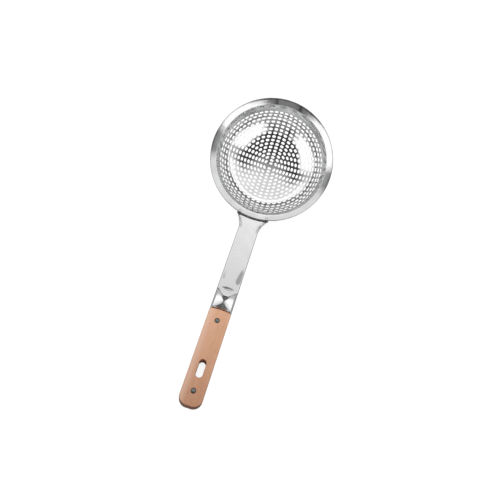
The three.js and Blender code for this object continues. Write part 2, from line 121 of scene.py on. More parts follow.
# Groove in the strap along the flange's edge
GROOVE_PLACE = 0.55
GROOVE_HALF_WIDTH = 1.05
GROOVE_DEPTH = 0.85
GROOVE_HALF_LENGTH = 18.5
GROOVE_FADE = 2.5

# Tang and ears
TANG_SHEET = 1.5
TANG_LAP = 38.0
TANG_INSET = 0.6
TANG_TOP = -STRAP_SHEET - SEAT_GAP
TANG_LOW = TANG_TOP - TANG_SHEET
EAR_GAP = 0.4
EAR_START = -0.5
EAR_RISE = 0.36
EAR_RISE_LENGTH = 14.0
EAR_CROWN_RISE = 0.15
EAR_BLEND = 1.2
EAR_TIP = 4.6
EAR_SEAM = 0.05
EAR_PINCH_SHARE = 0.45
EAR_EDGE = 1.6
EAR_EDGE_DROP = 1.3
EAR_SIDE_ROUND = 3.2
EAR_INNER_ROUND = 3.0
VALLEY_TOP = 5.0
VALLEY_FALL = 0.27
VALLEY_SIDE = 0.42
EAR_FRONT_ROUND = 2.0
EAR_FRONT_DROP = 2.2
WINDOW_GAP = 0.4
EAR_SIDE_STEPS = 10
EAR_COLUMN_POWER = 0.7
EAR_FIRST_SHARE = 0.12
EAR_LAST_SHARE = 0.1
EAR_END_ROWS = 9
EAR_MIDDLE_ROWS = 40
EAR_ROW_POWER = 1.6
EAR_FIT_STEPS = 12

# Grip
GRIP_START = 144.3
GRIP_END = 266.09
GRIP_HALF = 14.3
GRIP_THICKNESS = 18.5
GRIP_EASE = 2.0
GRIP_FRONT_BOW = 0.6
GRIP_FRONT_CORNER = 3.4
GRIP_END_CORNER = 11.0
GRIP_MIDDLE = (TANG_TOP + TANG_LOW) / 2
GRIP_TOP = GRIP_MIDDLE + GRIP_THICKNESS / 2
GRIP_LOW = GRIP_MIDDLE - GRIP_THICKNESS / 2
SLOT_PLACE = GRIP_END - 45.1
SLOT_HALF_LENGTH = 10.85
SLOT_HALF_WIDTH = 4.3
SLOT_EASE = 0.9
SHOULDER_STEPS = 10
FRONT_STEPS = 16
SIDE_STEPS = 24
CORNER_STEPS = 16
END_STEPS = 4
SLOT_STEPS = 14

# Rivets and welds
UPPER_RIVET = GRIP_START + 15.2
LOWER_RIVET = GRIP_END - 18.4
RIVET_HEAD = 3.0
RIVET_HEAD_HEIGHT = 1.2
RIVET_RECESS = 0.2
RIVET_CROWN = 0.75
RIVET_TUBE = 2.2
RIVET_BORE = 1.6
RIVET_PIN = 1.3
RIVET_HOLE = RIVET_TUBE + SEAT_GAP
RIVET_SEAT = RIVET_HEAD + SEAT_GAP
RIVET_SEAT_EASE = 0.12
RIVET_EASE = 0.22
RIVET_EASE_SHARE = 0.3
RIVET_CENTRE = 0.05
RING_STEPS = 36
WELD_SPREAD = 40.0
WELD_LENGTH = 3.4
WELD_WIDTH = 2.8
WELD_SPOT_REACH = 84.8
WELD_SPOT_ANGLE = math.radians(13.4)
WELD_SPOT_RADIUS = 1.7
WELD_ROWS = 14
WELD_COLUMNS = 24
WELD_POLE = 0.02
WELD_UNEVEN = 0.07
RIPPLE_LENGTHWISE = 3.0
RIPPLE_CROSSWISE = 2.2
RIPPLE_GAIN = 1.4

FULL_TURN = 2 * math.pi
QUARTER = math.pi / 2

tool_frame = (
    Matrix.Translation(Vector(REST_PLACE) * MM)
    @ Matrix.Rotation(REST_TILT, 4, "X")
    @ Matrix.Scale(MM, 4)
)


def clamp(value, low, high):
    return max(low, min(high, value))


def soft_min(a, b, width):
    share = clamp(0.5 + 0.5 * (b - a) / width, 0, 1)
    return b + (a - b) * share - width * share * (1 - share)


def rounded(distance, radius):
    """Height share of a rounded edge, by distance from it."""
    short = 1 - clamp(distance / radius, 0, 1)
    return math.sqrt(1 - short * short)


def smooth(t):
    t = clamp(t, 0.0, 1.0)
    return t * t * (3 - 2 * t)


def spaced(start, end, count):
    """Evenly spaced values from the start on, without the end."""
    return [start + (end - start) * k / count for k in range(count)]


def through(start, end, count):
    """Evenly spaced values from the start to the end, with both."""
    return spaced(start, end, count) + [end]


def turns(count):
    return spaced(0, FULL_TURN, count)


def oval(centre, radii, angles):
    """Corners on an ellipse at the given angles."""
    return [
        (centre[0] + radii[0] * math.cos(angle), centre[1] + radii[1] * math.sin(angle))
        for angle in angles
    ]


class Shape:
    """Corners and faces of one closed surface, in millimetres."""

    def __init__(self):
        self.points = []
        self.faces = []

    def add(self, points):
        first = len(self.points)
        self.points.extend(points)
        return list(range(first, first + len(points)))

    def bridge(self, a, b):
        for k in range(len(a)):
            n = (k + 1) % len(a)
            self.faces.append((a[k], a[n], b[n], b[k]))

    def loft(self, loops, ends=False):
        for a, b in zip(loops, loops[1:]):
            self.bridge(a, b)
        if ends:
            self.faces += [tuple(loops[0]), tuple(loops[-1])]

    def cap(self, outline, holes=()):
        loops = [outline, *holes]
        flat = [i for loop in loops for i in loop]
        plane = [[Vector(self.points[i]) for i in loop] for loop in loops]
        for tri in tessellate_polygon(plane):
            self.faces.append(tuple(flat[i] for i in tri))

    def zip(self, a, b):
        """Triangles between two rings of evenly spaced corners that both start at angle 0."""
        i = j = 0
        while i < len(a) or j < len(b):
            if j == len(b) or (i < len(a) and (i + 1) / len(a) <= (j + 1) / len(b)):
                self.faces.append((a[i % len(a)], a[(i + 1) % len(a)], b[j % len(b)]))
                i += 1
            else:
                self.faces.append((a[i % len(a)], b[(j + 1) % len(b)], b[j % len(b)]))
                j += 1


def put_in_scene(name, data):
    item = bpy.data.objects.new(name, data)
    bpy.context.scene.collection.objects.link(item)
    return item


def place(name, shape, matrix, look, node):
    mesh = bpy.data.meshes.new(name)
    mesh.from_pydata([matrix @ Vector(p) for p in shape.points], [], shape.faces)
    edit = bmesh.new()
    edit.from_mesh(mesh)
    bmesh.ops.remove_doubles(edit, verts=edit.verts, dist=MERGE_REACH * MM)
    bmesh.ops.dissolve_degenerate(edit, edges=edit.edges, dist=THIN_EDGE * MM)
    bmesh.ops.recalc_face_normals(edit, faces=edit.faces)
    edit.to_mesh(mesh)
    edit.free()
    mesh.shade_smooth()
    mesh.set_sharp_from_angle(angle=SHARP_ANGLE)
    mesh.materials.append(look)
    piece = put_in_scene(name, mesh)
    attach(piece, "root")
    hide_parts(node)


# Bowl meridian
mouth_reach = BOWL_RADIUS - FLANGE_WIDTH
mouth_turn = MOUTH_RADIUS * (math.sin(WALL_ANGLE) - math.sin(RISE))
wall_reach = WALL_LENGTH * math.cos(WALL_ANGLE) + mouth_turn
knuckle_reach = KNUCKLE_RADIUS * (math.sin(WALL_ANGLE) - math.sin(CROWN_ANGLE))
crown_radius = (mouth_reach - wall_reach - knuckle_reach) / math.sin(CROWN_ANGLE)
crown_arc = crown_radius * CROWN_ANGLE
knuckle_arc = crown_arc + KNUCKLE_RADIUS * (WALL_ANGLE - CROWN_ANGLE)


def meridian(arc, depth):
    """Radius, height over the lowest inner point, and slope."""
    on_crown = min(arc, crown_arc) / crown_radius
    slope = on_crown
    radius = crown_radius * math.sin(on_crown)
    height = crown_radius * (1 - math.cos(on_crown))
    if arc > crown_arc:
        slope = CROWN_ANGLE + (arc - crown_arc) / KNUCKLE_RADIUS
        radius += KNUCKLE_RADIUS * (math.sin(slope) - math.sin(CROWN_ANGLE))
        height += KNUCKLE_RADIUS * (math.cos(CROWN_ANGLE) - math.cos(slope))
    return radius + depth * math.sin(slope), height - depth * math.cos(slope), slope


knuckle_height = meridian(knuckle_arc, 0)[1]
mouth_radius = mouth_reach + MOUTH_RADIUS * math.sin(RISE)
mouth_height = (
    knuckle_height + WALL_LENGTH * math.sin(WALL_ANGLE) - MOUTH_RADIUS * math.cos(WALL_ANGLE)
)


def mouth_point(angle, depth):
    reach = MOUTH_RADIUS - depth
    return mouth_radius - reach * math.sin(angle), mouth_height + reach * math.cos(angle)


def flange_point(out, depth):
    """Radius and height on the rising flange, by distance from the mouth and depth in the sheet."""
    radius, height = mouth_point(RISE, depth)
    return radius + out * math.cos(RISE), height + out * math.sin(RISE)


flange_edge = (BOWL_RADIUS - mouth_point(RISE, HEM_ROUND)[0]) / math.cos(RISE)
hem_inner = flange_edge - HEM_WIDTH
rim_height = flange_point(flange_edge - HEM_ROUND, 0)[1]


def ring_arc(n):
    return FIRST_RING_ARC + n * (RING_PITCH + n * RING_STRETCH)


def on_circle(radius, height, angle):
    return (radius * math.sin(angle), radius * math.cos(angle), height - rim_height)


def bowl_shape():
    shape = Shape()
    half_cell = HOLE_HALF_HEIGHT + CELL_MARGIN

    def on_sheet(arc, angle, depth):
        radius, height, _ = meridian(arc, depth)
        return on_circle(radius, height, angle)

    # Outline of a hole in its own plane, from its right end round by the far side
    def hole_outline(grow):
        a = HOLE_HALF_LENGTH + grow
        b = HOLE_HALF_HEIGHT + grow
        r = HOLE_CORNER + grow
        k = r * math.sqrt(0.5)
        quarter = [(a, 0), (a, b - r), (a - r + k, b - r + k), (a - r, b)]
        far = quarter + [(0, b)] + [(-x, y) for x, y in reversed(quarter)]
        return far + [(x, -y) for x, y in reversed(far[1:-1])]

    rings = []
    for n in range(RING_COUNT):
        count = FIRST_RING_HOLES + n * HOLES_ADDED
        arc = ring_arc(n)
        radius, _, slope = meridian(arc, 0)
        spread = radius / math.cos(slope)
        half_angle = math.pi / count
        sides = []
        for depth, ease_depth in ((0, HOLE_EASE), (BOWL_SHEET, BOWL_SHEET - HOLE_EASE)):
            quarter_cells = turns(CELL_CORNERS * count)
            inner = shape.add([on_sheet(arc - half_cell, t, depth) for t in quarter_cells])
            outer = shape.add([on_sheet(arc + half_cell, t, depth) for t in quarter_cells])
            holes = []
            for h in range(count):
                centre = h * FULL_TURN / count
                right = centre + half_angle
                right_side = shape.add([
                    on_sheet(arc + half_cell * m, right, depth)
                    for m in (-CELL_SIDE, 0, CELL_SIDE)
                ])
                loops = []
                for grow, level in ((HOLE_EASE, depth), (0, ease_depth)):
                    loop = []
                    for across, out in hole_outline(grow):
                        turn = math.atan2(across, spread + out) * spread / radius
                        reach = arc - spread + math.hypot(spread + out, across)
                        loop.append(on_sheet(reach, centre + turn, level))
                    loops.append(shape.add(loop))
                holes.append({"right": right_side, "top": loops[0], "low": loops[1]})
            for h, hole in enumerate(holes):
                left_side = holes[h - 1]["right"]
                right_side = hole["right"]
                around = [(CELL_CORNERS * h + i) % len(inner) for i in range(-2, 3)]
                cell = right_side[1:] + [outer[i] for i in reversed(around)] + left_side[::-1]
                cell += [inner[i] for i in around] + right_side[:1]
                shape.loft([cell, hole["top"], hole["low"]])
            sides.append({"inner": inner, "outer": outer, "holes": holes})
        for upper, lower in zip(sides[0]["holes"], sides[1]["holes"]):
            shape.bridge(upper["low"], lower["low"])
        rings.append(sides)

    for side in (0, 1):
        shape.faces.append(tuple(rings[0][side]["inner"]))
        for ring, further in zip(rings, rings[1:]):
            shape.zip(ring[side]["outer"], further[side]["inner"])

    # Plain wall, mouth, flange and hem
    count = len(rings[-1][0]["outer"])
    last_arc = ring_arc(RING_COUNT - 1) + half_cell
    wall_arcs = through(last_arc, knuckle_arc, WALL_STEPS)[1:]
    turn_angles = through(WALL_ANGLE, RISE, ROUND_STEPS)
    profile = [meridian(wall_arc, 0)[:2] for wall_arc in wall_arcs]
    profile += [mouth_point(angle, 0) for angle in turn_angles]
    hem_centre = flange_edge - HEM_ROUND - HEM_SET_BACK
    profile += [flange_point(out, 0) for out in spaced(0, hem_centre, FLANGE_STEPS)[1:]]
    for angle in through(0, math.pi, 2 * ROUND_STEPS):
        profile.append(flange_point(
            hem_centre + HEM_ROUND * math.sin(angle),
            HEM_ROUND - HEM_ROUND * math.cos(angle),
        ))
    profile.append(flange_point(hem_inner, 2 * HEM_ROUND))
    profile.append(flange_point(hem_inner, BOWL_SHEET))
    profile += [mouth_point(angle, BOWL_SHEET) for angle in reversed(turn_angles)]
    profile += [meridian(wall_arc, BOWL_SHEET)[:2] for wall_arc in reversed(wall_arcs)]
    loops = [rings[-1][0]["outer"]]
    for radius, height in profile:
        loops.append(shape.add([on_circle(radius, height, turn) for turn in turns(count)]))
    loops.append(rings[-1][1]["outer"])
    shape.loft(loops)
    return shape


# Strap: its frame, and the grip's, starts on its upper face at the flange's edge
seat_radius, seat_height = flange_point(flange_edge, 2 * HEM_ROUND + SEAT_GAP)
seat_level = seat_height - rim_height
handle_frame = (
    tool_frame
    @ Matrix.Translation((0, -seat_radius, seat_level))
    @ Matrix.Rotation(-RISE, 4, "X")
)


def strap_half(along):
    t = clamp((along - FLARE_START) / FLARE_LENGTH, 0, 1)
    return STRAP_HALF + (FLARE_HALF - STRAP_HALF) * (1 - t) ** 2


def tab_half(along):
    """Half width that the tapered tab leaves, by distance from the flange's edge."""
    past = along - TAB_START
    if past <= 0:
        return FLARE_HALF
    width = STRAP_HALF - past / TAB_TAPER
    near_tip = clamp((past - TAB_LENGTH + TAB_CORNER) / TAB_CORNER, 0, 1)
    return width - TAB_CORNER * (1 - math.sqrt(1 - near_tip ** 2))


def pressed(across, along):
    """How far the strap's sheet is pressed down at a point."""
    lens = 1 - (across / DIMPLE_HALF_LENGTH) ** 2
    depth = 0.0
    if lens > 0:
        half = DIMPLE_HALF_WIDTH * lens
        off = along - DIMPLE_PLACE
        crease = DIMPLE_LEAN * across * lens
        reach = (off - crease) / (half - crease) if off > crease else (crease - off) / (half + crease)
        depth += DIMPLE_DEPTH * lens * (1 - clamp(reach, 0, 1))
    edge = math.sqrt(BOWL_RADIUS ** 2 - across ** 2) - BOWL_RADIUS
    past = along - edge / math.cos(RISE) - GROOVE_PLACE
    across_fade = 1 - smooth((abs(across) - GROOVE_HALF_LENGTH) / GROOVE_FADE)
    depth += GROOVE_DEPTH * across_fade * smooth(1 - abs(past) / GROOVE_HALF_WIDTH)
    return depth


def strap_section(along):
    half = strap_half(along)
    grown = smooth((along - FLARE_START) / FLARE_LENGTH)
    depth = STRAP_SHEET + FLARE_LIP + (STRAP_DEPTH - STRAP_SHEET - FLARE_LIP) * grown
    outer = min(STRAP_ROUND, depth - FLARE_LIP / 2)
    inner = max(outer - STRAP_SHEET, FLARE_LIP / 4)

    def across_face(edge, radius, top, low):
        flat = edge - radius
        side = [(edge, low), (edge, (low + top - radius) / 2)]
        side += oval((flat, top - radius), (radius, radius), through(0, QUARTER, EASE_STEPS))
        middle = [(x, top) for x in spaced(flat, -flat, STRAP_COLUMNS)[1:]]
        return side + middle + [(-x, z) for x, z in reversed(side)]

    cut = tab_half(along)
    upper = across_face(half, outer, 0.0, -depth)
    lower = across_face(half - STRAP_SHEET, inner, -STRAP_SHEET, -depth)
    if cut < half:
        floor = -depth if cut > half - STRAP_SHEET else -STRAP_SHEET
        limit = max(cut, TAB_TIP_HALF / 2)
        upper = [(clamp(x, -limit, limit), max(z, floor)) for x, z in upper]
        lower = [(clamp(x, -limit, limit), max(z, floor)) for x, z in lower]
    return upper + lower[::-1]


def strap_shape():
    shape = Shape()
    seat = BOWL_RADIUS - PAD_LENGTH
    groove_end = GROOVE_PLACE + GROOVE_HALF_WIDTH
    flare_end = FLARE_START + FLARE_LENGTH
    plain_end = DIMPLE_PLACE - PRESSED_REACH
    stations = spaced(0, groove_end, GROOVE_STATIONS)
    stations += spaced(groove_end, flare_end, FLARE_STATIONS)
    stations += spaced(flare_end, plain_end, PLAIN_STATIONS)
    stations += through(plain_end, TAB_START, PRESSED_STATIONS)
    side_end = STRAP_SHEET * TAB_TAPER
    steps = [TAB_STEP, TAB_SIDE_SHARE * side_end, side_end - TAB_STEP, side_end + TAB_STEP]
    steps += spaced(side_end, TAB_LENGTH, TAB_STATIONS)[1:-1]
    steps += [TAB_LENGTH - TAB_CORNER * share for share in TAB_TIP_SHARES]
    stations += [TAB_START + s for s in sorted(steps)]

    loops = []
    pad_edge = (math.sqrt(seat ** 2 - FLARE_HALF ** 2) - seat_radius) / math.cos(RISE)
    for t in PAD_SHARES:
        loop = []
        for across, up in strap_section(pad_edge * (1 - t)):
            inward = math.sqrt(seat ** 2 - across ** 2) - seat_radius + up * math.sin(RISE)
            along = inward / math.cos(RISE) * (1 - t)
            loop.append((across, -along, up - pressed(across, along)))
        loops.append(shape.add(loop))
    for along in stations:
        section = strap_section(along)
        loops.append(shape.add([(x, -along, up - pressed(x, along)) for x, up in section]))
    shape.loft(loops)
    for loop in (loops[0], loops[-1]):
        half = len(loop) // 2
        for k in range(half - 1):
            shape.faces.append((loop[k], loop[k + 1], loop[-2 - k], loop[-1 - k]))
    return shape


# Grip outlines, as rings of corners in x and y of the handle's frame
def curve(a, b, c, steps):
    points = []
    for t in spaced(0, 1, steps):
        shares = ((1 - t) ** 2, 2 * t * (1 - t), t * t)
        points.append(tuple(sum(s * v for s, v in zip(shares, row)) for row in zip(a, b, c)))
    return points


def grip_outline(inset):
    half = GRIP_HALF - inset
    front = -GRIP_START - inset
    bow = front - GRIP_FRONT_BOW
    end = -GRIP_END + inset
    corner = GRIP_END_CORNER - inset
    radii = (corner, corner)
    shoulder = half - GRIP_FRONT_CORNER
    side = bow - GRIP_FRONT_CORNER
    points = curve((-half, side), (-half, bow), (-shoulder, bow), SHOULDER_STEPS)
    points += curve((-shoulder, bow), (0, front + GRIP_FRONT_BOW), (shoulder, bow), FRONT_STEPS)
    points += curve((shoulder, bow), (half, bow), (half, side), SHOULDER_STEPS)
    points += [(half, y) for y in spaced(side, end + corner, SIDE_STEPS)]
    points += oval((half - corner, end + corner), radii, spaced(0, -QUARTER, CORNER_STEPS))
    points += [(x, end) for x in spaced(half - corner, corner - half, END_STEPS)]
    points += oval((corner - half, end + corner), radii, spaced(-QUARTER, -math.pi, CORNER_STEPS))
    points += [(-half, y) for y in spaced(end + corner, side, SIDE_STEPS)]
    return points


def slot_outline(margin):
    radius = SLOT_HALF_WIDTH + margin
    reach = SLOT_HALF_LENGTH - SLOT_HALF_WIDTH
    points = []
    for centre, start in ((reach, 0.0), (-reach, math.pi)):
        angles = through(start, start + math.pi, SLOT_STEPS)
        points += oval((0, centre - SLOT_PLACE), (radius, radius), angles)
    return points


def ring_outline(radius, along, steps=RING_STEPS):
    return oval((0, -along), (radius, radius), turns(steps))


def lift(outline, z):
    return [(x, y, z) for x, y in outline]


def scale_shape(inner, face):
    """One wooden scale, between its face on the tang and its outer face."""
    shape = Shape()
    out = 1 if face > inner else -1
    body = [shape.add(lift(grip_outline(0), inner))]
    for angle in through(0, QUARTER, EASE_STEPS):
        inset = GRIP_EASE * (1 - math.cos(angle))
        height = face - out * GRIP_EASE * (1 - math.sin(angle))
        body.append(shape.add(lift(grip_outline(inset), height)))
    shape.loft(body)
    slot = []
    for angle in through(0, QUARTER, EASE_STEPS):
        margin = SLOT_EASE * (1 - math.sin(angle))
        height = face - out * SLOT_EASE * (1 - math.cos(angle))
        slot.append(shape.add(lift(slot_outline(margin), height)))
    slot.append(shape.add(lift(slot_outline(0), inner)))
    shape.loft(slot)
    seat_floor = face - out * (RIVET_RECESS + RIVET_HEAD_HEIGHT + SEAT_GAP)
    seat = (
        (RIVET_SEAT + RIVET_SEAT_EASE, face), (RIVET_SEAT, face - out * RIVET_SEAT_EASE),
        (RIVET_SEAT, seat_floor), (RIVET_HOLE, seat_floor), (RIVET_HOLE, inner),
    )
    mouths = []
    bottoms = []
    for along in (UPPER_RIVET, LOWER_RIVET):
        rings = [shape.add(lift(ring_outline(radius, along), z)) for radius, z in seat]
        shape.loft(rings)
        mouths.append(rings[0])
        bottoms.append(rings[-1])
    shape.cap(body[-1], [slot[0], *mouths])
    shape.cap(body[0], [slot[-1], *bottoms])
    return shape


# Tang: a flat plate with two folded ears in front of the wood
def grip_front(across):
    """Distance along the handle at which the wood's front edge starts."""
    shoulder = GRIP_HALF - GRIP_FRONT_CORNER
    bow = GRIP_START + GRIP_FRONT_BOW
    if abs(across) < shoulder:
        t = (across / shoulder + 1) / 2
        return bow - 4 * GRIP_FRONT_BOW * t * (1 - t)
    s = clamp((abs(across) - shoulder) / GRIP_FRONT_CORNER, 0, 1)
    t = 1 - math.sqrt(1 - s)
    return bow + GRIP_FRONT_CORNER * t * t


def ear_start(across):
    lean = EAR_GAP * math.hypot(1, TAB_TAPER)
    slant = TAB_START + (STRAP_HALF - abs(across)) * TAB_TAPER + lean
    return min(slant, TAB_START + TAB_LENGTH + EAR_GAP)


tip_end = TAB_START + TAB_LENGTH
pinch = tip_end + (GRIP_START - tip_end) * EAR_PINCH_SHARE


def ear_inner(along):
    closing = clamp((pinch - along) / (pinch - tip_end), 0, 1)
    return EAR_SEAM + (EAR_TIP - EAR_SEAM) * closing


def ear_height(across, along):
    """Top of an ear: a cheek that rises from the tab, and a valley that falls to the wood."""
    past = along - TAB_START
    bend = EAR_START + EAR_RISE * EAR_RISE_LENGTH
    cheek = soft_min(
        EAR_START + EAR_RISE * past,
        bend + EAR_CROWN_RISE * (past - EAR_RISE_LENGTH),
        EAR_BLEND,
    )
    valley = VALLEY_TOP - VALLEY_FALL * (along - pinch) + VALLEY_SIDE * across
    top = soft_min(cheek, valley, EAR_BLEND)
    from_tab = (along - ear_start(across)) / math.hypot(1, TAB_TAPER)
    top -= EAR_EDGE_DROP * (1 - rounded(from_tab, EAR_EDGE))
    from_wood = grip_front(across) - EAR_GAP - along
    top -= EAR_FRONT_DROP * (1 - rounded(from_wood, EAR_FRONT_ROUND))
    inner = ear_inner(along)
    inner_round = EAR_INNER_ROUND * inner / EAR_TIP + EAR_SEAM
    side = rounded(STRAP_HALF - across, EAR_SIDE_ROUND) * rounded(across - inner, inner_round)
    return TANG_LOW + (top - TANG_LOW) * side


def ear_columns(inner):
    """Distances from the middle, from the ear's outer edge to its inner one."""
    flat = STRAP_HALF - EAR_SIDE_ROUND
    angles = spaced(0, QUARTER, EAR_SIDE_STEPS)
    columns = [flat + EAR_SIDE_ROUND * math.cos(angle) for angle in angles]
    inward = [share ** EAR_COLUMN_POWER for share in through(0, 1, 2 * EAR_SIDE_STEPS)]
    return columns + [flat + (inner - flat) * share for share in inward]


def ear(shape, sign):
    rows = [EAR_FIRST_SHARE * share ** EAR_ROW_POWER for share in spaced(0, 1, EAR_END_ROWS)]
    rows += spaced(EAR_FIRST_SHARE, 1 - EAR_LAST_SHARE, EAR_MIDDLE_ROWS)
    rows += [1 - EAR_LAST_SHARE * share ** EAR_ROW_POWER for share in through(1, 0, EAR_END_ROWS)]
    count = len(ear_columns(EAR_SEAM))
    loops = []
    for t in rows:
        loop = []
        feet = []
        for k in range(count):
            along = TAB_START + (GRIP_START - TAB_START) * t
            for _ in range(EAR_FIT_STEPS):
                across = ear_columns(ear_inner(along))[k]
                start = ear_start(across)
                along = start + (grip_front(across) - EAR_GAP - start) * t
            loop.append((sign * across, -along, ear_height(across, along)))
            feet.append((sign * across, -along, TANG_LOW))
        loops.append(shape.add(loop + [feet[-1], feet[0]]))
    shape.loft(loops)
    shape.cap(loops[0])
    shape.cap(loops[-1])


def tang_outline():
    lap_half = STRAP_HALF - STRAP_SHEET - SEAT_GAP
    neck_half = STRAP_HALF - EAR_GAP / 4
    lap_end = TAB_START + (STRAP_HALF - lap_half) * TAB_TAPER + EAR_GAP
    lap_start = TAB_START - TANG_LAP
    wood = grip_outline(TANG_INSET)
    neck = [(x, y) for x, y in wood if abs(x) > neck_half or y < -GRIP_START - GRIP_HALF]
    right = [p for p in neck if p[0] > 0]
    left = [p for p in neck if p[0] <= 0]
    first = right[0]
    last = left[-1]
    start = [(-neck_half, last[1]), (-neck_half, -lap_end), (-lap_half, -lap_end)]
    start += [(-lap_half, -lap_start), (lap_half, -lap_start), (lap_half, -lap_end)]
    start += [(neck_half, -lap_end), (neck_half, first[1])]
    return start + right + left


def tang_shape():
    shape = Shape()
    window = (
        DIMPLE_HALF_LENGTH + STRAP_SHEET + WINDOW_GAP,
        DIMPLE_HALF_WIDTH + STRAP_SHEET + WINDOW_GAP,
    )
    outlines = [tang_outline()]
    outlines.append(oval((0, -DIMPLE_PLACE), window, turns(OVAL_STEPS)))
    outlines.append(slot_outline(TANG_INSET))
    outlines += [ring_outline(RIVET_HOLE, along) for along in (UPPER_RIVET, LOWER_RIVET)]
    tops = [shape.add(lift(outline, TANG_TOP)) for outline in outlines]
    lows = [shape.add(lift(outline, TANG_LOW)) for outline in outlines]
    for a, b in zip(tops, lows):
        shape.bridge(a, b)
    shape.cap(tops[0], tops[1:])
    shape.cap(lows[0], lows[1:])
    ear(shape, 1)
    ear(shape, -1)
    return shape


# Rivets and welds
def turned_shape(profile, along):
    shape = Shape()
    loops = [shape.add(lift(ring_outline(radius, along, OVAL_STEPS), z)) for radius, z in profile]
    shape.loft(loops, ends=True)
    return shape


head_top = GRIP_TOP - RIVET_RECESS
head_low = GRIP_LOW + RIVET_RECESS
bore_floor = head_low + RIVET_HEAD_HEIGHT
tube_end = head_top - RIVET_HEAD_HEIGHT - SEAT_GAP


def head_profile(edge, out):
    """A low crowned head with an eased edge."""
    eased = RIVET_EASE_SHARE * RIVET_EASE
    points = [(RIVET_HEAD, edge - out * (RIVET_CROWN + RIVET_EASE))]
    points.append((RIVET_HEAD - eased, edge - out * (RIVET_CROWN + eased)))
    for radius in spaced(RIVET_HEAD - RIVET_EASE, 0, EASE_STEPS):
        crown = RIVET_CROWN * (radius / RIVET_HEAD) ** 2
        points.append((radius, edge - out * crown))
    points.append((RIVET_CENTRE, edge))
    return points


def pin_profile():
    low = bore_floor + SEAT_GAP
    under = head_top - RIVET_HEAD_HEIGHT
    start = [(RIVET_CENTRE, low), (RIVET_PIN, low), (RIVET_PIN, under), (RIVET_HEAD, under)]
    return start + head_profile(head_top, 1)


def tube_profile():
    start = head_profile(head_low, -1)[::-1]
    return start + [
        (RIVET_HEAD, bore_floor), (RIVET_TUBE, bore_floor), (RIVET_TUBE, tube_end),
        (RIVET_BORE, tube_end), (RIVET_BORE, bore_floor), (RIVET_CENTRE, bore_floor),
    ]


def spin(x, y, angle):
    return x * math.cos(angle) - y * math.sin(angle), x * math.sin(angle) + y * math.cos(angle)


def weld_shape(side):
    """A small uneven bead with the ripples of the weld."""
    shape = Shape()
    height = 2 * HEM_ROUND - SEAT_GAP
    reach = BOWL_RADIUS + SEAT_GAP + WELD_WIDTH / 2
    turn = side * math.asin(WELD_SPREAD / 2 / reach)
    below = seat_level + (reach * math.cos(turn) - seat_radius) * math.tan(RISE)
    middle = below + (SEAT_GAP + height / 2) / math.cos(RISE)
    loops = []
    for r in range(WELD_ROWS + 1):
        lat = math.pi * (r + WELD_POLE) / (WELD_ROWS + 2 * WELD_POLE) - QUARTER
        loop = []
        for lon in turns(WELD_COLUMNS):
            x = math.cos(lat) * math.cos(lon)
            y = math.cos(lat) * math.sin(lon)
            z = math.sin(lat)
            ripple = noise.noise(Vector((
                RIPPLE_LENGTHWISE * x + side, RIPPLE_CROSSWISE * y, RIPPLE_CROSSWISE * z,
            )))
            size = 1 - WELD_UNEVEN + WELD_UNEVEN * clamp(RIPPLE_GAIN * ripple, -1, 1)
            x *= size * WELD_LENGTH / 2
            y *= size * WELD_WIDTH / 2
            z *= size * height / 2
            y, z = spin(y, z, -RISE)
            x, y = spin(x, y - reach, turn)
            loop.append((x, y, z + middle))
        loops.append(shape.add(loop))
    shape.loft(loops, ends=True)
    return shape


# Materials, and the sockets of the node that mixes colours
MIX_FACTOR = 0
MIX_COLOURS = (6, 7)
MIX_RESULT = 2


